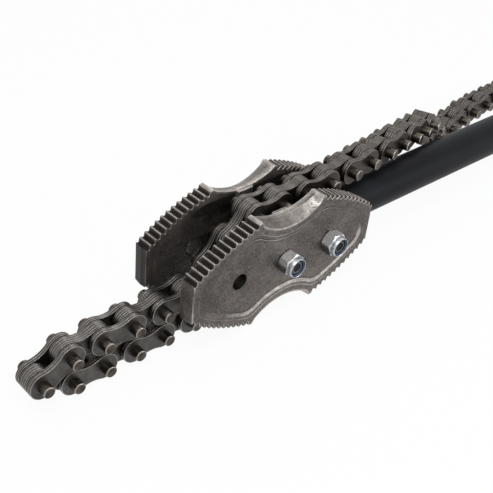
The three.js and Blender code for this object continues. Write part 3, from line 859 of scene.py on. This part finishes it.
def plateOutline():
    # two round ends and the hollow arcs between them, that touch them smoothly
    half, waist, pitch = chain["height"] / 2, chain["waist"] / 2, chain["pitch"]
    hollow = ((pitch / 2) ** 2 + waist ** 2 - half ** 2) / (2 * (half - waist))
    turn = math.atan2(waist + hollow, pitch / 2)
    lean, up, middle = math.pi / 2 - turn, math.pi / 2, waist + hollow
    outline = arc(pitch, 0, half, turn - math.pi, math.pi - turn, 26)
    outline += arc(pitch / 2, middle, hollow, lean - up, -lean - up, 8)[1:-1]
    outline += arc(0, 0, half, turn, 2 * math.pi - turn, 26)
    outline += arc(pitch / 2, -middle, hollow, up + lean, up - lean, 8)[1:-1]
    return outline


def makePlateMesh():
    shape = bmesh.new()
    outline = plateOutline()
    face, edge = (chain["gap"] - chain["plate"]) / 2, chain["round"]
    steps = [(face, edge + 0.8), (face, edge), (face + edge * 0.3, edge * 0.3), (face + edge, 0.0),
             (face + edge + 0.3, 0.0)]
    steps += [(-y, drawn) for y, drawn in steps[::-1]]
    loops = [addLoop(shape, [(x, y, z) for x, z in inset(outline, drawn)]) for y, drawn in steps]
    addWalls(shape, loops)
    shape.faces.new(loops[0])
    shape.faces.new(loops[-1])
    return finish("platePattern", shape, chainSteel, Matrix.Scale(1000, 4), wearReach=0.8)


def makePinMesh():
    shape = bmesh.new()
    r, half = chain["pin"], chain["pinLength"] / 2
    cap = [(0, 0.1)] + [(r - drawn, depth) for drawn, depth in chain["pinCap"]]
    profile = [(radius, depth - half) for radius, depth in cap] + [(r, 0)]
    profile += [(radius, half - depth) for radius, depth in cap[::-1]]
    addTurned(shape, profile, 32)
    return finish("pinPattern", shape, pinSteel, Matrix.Scale(1000, 4), wearReach=0.9)


def buildLinkTree(plateObject, pinObject):
    tree = bpy.data.node_groups.new("layLinkUp", "GeometryNodeTree")
    tree.interface.new_socket("Geometry", in_out="OUTPUT", socket_type="NodeSocketGeometry")
    named = {}
    for label, kind in (("Packs", "Int"), ("Pack start", "Float"), ("Pack step", "Float"),
                        ("Plates", "Int"), ("Plate step", "Float"), ("Pins", "Int"),
                        ("Pitch", "Float"), ("Shift play", "Float"), ("Turn play", "Float"),
                        ("Seed", "Int")):
        socket = tree.interface.new_socket(label, in_out="INPUT", socket_type="NodeSocket" + kind)
        named[label] = socket.identifier

    def add(kind, settings=None, sockets=None):
        node = tree.nodes.new(kind)
        for key, value in (settings or {}).items():
            setattr(node, key, value)
        for key, value in (sockets or {}).items():
            if hasattr(value, "is_output"):
                tree.links.new(value, node.inputs[key])
            else:
                node.inputs[key].default_value = value
        return node

    given = add("NodeGroupInput").outputs

    def geometry(kind, sockets, settings=None):
        return add("GeometryNode" + kind, settings, sockets).outputs[0]

    def maths(operation, first, second):
        return add("ShaderNodeMath", {"operation": operation}, {0: first, 1: second}).outputs[0]

    def vector(**parts):
        return add("ShaderNodeCombineXYZ", {}, parts).outputs[0]

    def line(count, start, step):
        return geometry("MeshLine", {"Count": count, "Start Location": start, "Offset": step},
                        {"mode": "OFFSET"})

    def play(size, seed, axes):
        # a random vector within plus and minus the size, along the axes that are named
        ends = (maths("MULTIPLY", size, -1.0), size)
        low, high = (vector(**{axis: end for axis in axes}) for end in ends)
        return add("FunctionNodeRandomValue", {"data_type": "FLOAT_VECTOR"}, {
            0: low, 1: high, "Seed": maths("ADD", given["Seed"], float(seed))}).outputs[0]

    def finished(instances, material):
        solid = geometry("RealizeInstances", {"Geometry": instances})
        return geometry("SetMaterial", {"Geometry": solid, "Material": material})

    # plates in packs across the link, each with its own play about the link's middle
    packs = line(given["Packs"], vector(Y=given["Pack start"]), vector(Y=given["Pack step"]))
    stack = line(given["Plates"], (0, 0, 0), vector(Y=given["Plate step"]))
    places = geometry("InstanceOnPoints", {"Points": packs, "Instance": stack})
    places = geometry("RealizeInstances", {"Geometry": places})
    plate = add("GeometryNodeObjectInfo", {}, {"Object": plateObject}).outputs["Geometry"]
    plates = geometry("InstanceOnPoints", {"Points": places, "Instance": plate})
    plates = geometry("TranslateInstances", {
        "Instances": plates, "Translation": play(given["Shift play"], 1, "XZ")})
    plates = geometry("RotateInstances", {
        "Instances": plates, "Rotation": play(given["Turn play"], 2, "Y"),
        "Pivot Point": vector(X=maths("MULTIPLY", given["Pitch"], 0.5)), "Local Space": False})
    # a pin at each end, turned at random about itself
    spots = line(given["Pins"], (0, 0, 0), vector(X=given["Pitch"]))
    pin = add("GeometryNodeObjectInfo", {}, {"Object": pinObject}).outputs["Geometry"]
    pins = geometry("InstanceOnPoints", {"Points": spots, "Instance": pin})
    pins = geometry("RotateInstances", {
        "Instances": pins, "Rotation": play(chain["pinTurn"], 3, "Y"), "Local Space": True})
    joined = add("GeometryNodeJoinGeometry")
    tree.links.new(finished(pins, pinSteel), joined.inputs[0])
    tree.links.new(finished(plates, chainSteel), joined.inputs[0])
    tree.links.new(joined.outputs[0], add("NodeGroupOutput").inputs[0])
    return tree, named


def linkPlaces():
    # each link runs from its own hinge to the next one, and the last goes on straight
    hinges = [Vector(j["pos_m"]) for j in frame["joints"]]
    hinges.append(hinges[-1] * 2 - hinges[-2])
    places = []
    for here, there in zip(hinges, hinges[1:]):
        along = (there - here).normalized()
        across = Vector((-along.y, along.x, 0)) * (1 if along.x > 0 else -1)
        across.normalize()
        turn = Matrix((along, across, along.cross(across))).transposed().to_4x4()
        places.append(Matrix.Translation(here) @ turn)
    return places


def layChain():
    plateObject, pinObject = makePlateMesh(), makePinMesh()
    tree, named = buildLinkTree(plateObject, pinObject)
    # inner links are one pack of plates, and outer links one on each side of it
    plate = chain["plate"]
    innerWidth = plate * chain["innerPlates"]
    outerSide = innerWidth / 2 + chain["sidePlay"] + plate * (chain["outerPlates"] - 1) + plate / 2
    holder = bpy.data.objects.new("linkHolder", bpy.data.meshes.new("linkHolder"))
    scene.collection.objects.link(holder)
    for index, place in enumerate(linkPlaces()):
        number = index + 1
        outer = number % 2 == 0
        sizes = {
            "Packs": 2 if outer else 1,
            "Pack start": -outerSide if outer else -(innerWidth - plate) / 2,
            "Pack step": outerSide * 2 - plate * (chain["outerPlates"] - 1),
            "Plates": chain["outerPlates"] if outer else chain["innerPlates"],
            "Plate step": plate, "Pins": 2 if outer else 0, "Pitch": chain["pitch"],
            "Shift play": chain["shiftPlay"], "Turn play": math.radians(chain["turnPlay"]),
            "Seed": number}
        modifier = holder.modifiers.new("layUp", "NODES")
        modifier.node_group = tree
        for label, value in sizes.items():
            modifier[named[label]] = value
        mesh = bake(holder)
        holder.modifiers.remove(modifier)
        mesh.transform(place @ millimetres)
        mesh.update()
        kind = "outer" if outer else "inner"
        piece = bpy.data.objects.new(f"{kind}_plates_{number:02d}", mesh)
        scene.collection.objects.link(piece)
        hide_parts(f"{kind}_link_{number:02d}")
        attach(piece, f"link_{number:02d}")
    for spare in (holder, plateObject, pinObject):
        bpy.data.objects.remove(spare)


layChain()


def makeAnchorPin():
    shape = bmesh.new()
    low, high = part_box("anchor_pin")
    centre = (low + high) / 2
    half, r, edge = (high.y - low.y) / 2 * 1000, chain["pin"], 0.8
    addTurned(shape, [(0, -half), (r - edge, -half), (r, edge - half), (r, half - edge),
                      (r - edge, half), (0, half)], 32)
    return finish("chain_anchor_pin", shape, pinSteel, Matrix.Translation(centre))


anchorPin = makeAnchorPin()
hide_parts("anchor_pin")
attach(anchorPin, "wrench")
print("chain laid")


# Floor, light and camera
studio = {"reach": 6.0, "below": 0.0002, "floor": (0.86, 0.86, 0.86), "room": (0.97, 0.985, 1.0),
          "ambient": 0.4, "held": 0.94}


def seenDirectly(graph):
    # the white surroundings show to the camera and in mirrors, and light nothing
    path = graph.add("ShaderNodeLightPath")
    rays = path.out("Is Camera Ray") + path.out("Is Glossy Ray")
    return graph.add("ShaderNodeMath", {"operation": "ADD", "use_clamp": True},
                     [rays, path.out("Is Transmission Ray")])


def makeStudio():
    mesh = bpy.data.meshes.new("floor")
    reach = studio["reach"]
    corners = [(-reach, -reach, 0), (reach, -reach, 0), (reach, reach, 0), (-reach, reach, 0)]
    mesh.from_pydata(corners, [], [(0, 1, 2, 3)])
    material, graph = startMaterial("paleFloor")
    seen = seenDirectly(graph) * studio["held"]
    plain = graph.add("ShaderNodeBsdfDiffuse", {}, {"Color": (*studio["floor"], 1)})
    glow = graph.add("ShaderNodeEmission", {}, {"Color": (1, 1, 1, 1), "Strength": 1.0})
    mixed = graph.add("ShaderNodeMixShader", {}, {0: seen, 1: plain, 2: glow})
    graph.add("ShaderNodeOutputMaterial", {}, {"Surface": mixed})
    floor = objectFrom("pale_floor", mesh, material)
    floor.location.z = -studio["below"]

    world = bpy.data.worlds.new("studioWorld")
    scene.world = world
    world.use_nodes = True
    graph = Graph(world.node_tree)
    seen = seenDirectly(graph)
    room = graph.add("ShaderNodeBackground", {}, {
        "Color": (*studio["room"], 1), "Strength": studio["ambient"]})
    white = graph.add("ShaderNodeBackground", {}, {"Color": (1, 1, 1, 1), "Strength": 1.0})
    mixed = graph.add("ShaderNodeMixShader", {}, {0: seen, 1: room, 2: white})
    graph.add("ShaderNodeOutputWorld", {}, {"Surface": mixed})


# places in metres from the front bolt, towards which all lamps point
lamps = {"key": {"at": (-0.5, -0.5, 1.7), "size": 1.3, "power": 20.0},
         "side": {"at": (0.7, -1.0, 0.35), "size": 0.7, "power": 5.0},
         "rear": {"at": (0.9, 1.1, 1.2), "size": 0.8, "power": 4.5}}


def hangLamps():
    centre = toolFrame.translation
    for name, lamp in lamps.items():
        light = bpy.data.lights.new(name, "AREA")
        light.shape = "DISK"
        light.size = lamp["size"]
        light.energy = lamp["power"]
        holder = bpy.data.objects.new(name, light)
        scene.collection.objects.link(holder)
        holder.location = centre + Vector(lamp["at"])
        holder.rotation_euler = (centre - holder.location).to_track_quat("-Z", "Y").to_euler()


# fitted to the photograph, in the tool's own frame
view = {"place": (-0.45817, -0.43304, 0.43), "turn": (54.6845, -3.7312, -40.5157), "lens": 65.4,
        "shift": (0.0708, 0.0084), "sensor": 36.0, "near": 0.01}


def setCamera():
    lens = bpy.data.cameras.new("camera")
    lens.sensor_width = view["sensor"]
    lens.sensor_fit = "HORIZONTAL"
    lens.lens = view["lens"]
    lens.shift_x, lens.shift_y = view["shift"]
    lens.clip_start = view["near"]
    camera = bpy.data.objects.new("camera", lens)
    scene.collection.objects.link(camera)
    turn = Euler([math.radians(a) for a in view["turn"]], "XYZ").to_matrix().to_4x4()
    camera.matrix_world = toolFrame @ Matrix.Translation(view["place"]) @ turn
    scene.camera = camera


makeStudio()
hangLamps()
setCamera()
scene.view_settings.view_transform = "Standard"
print("studio ready")
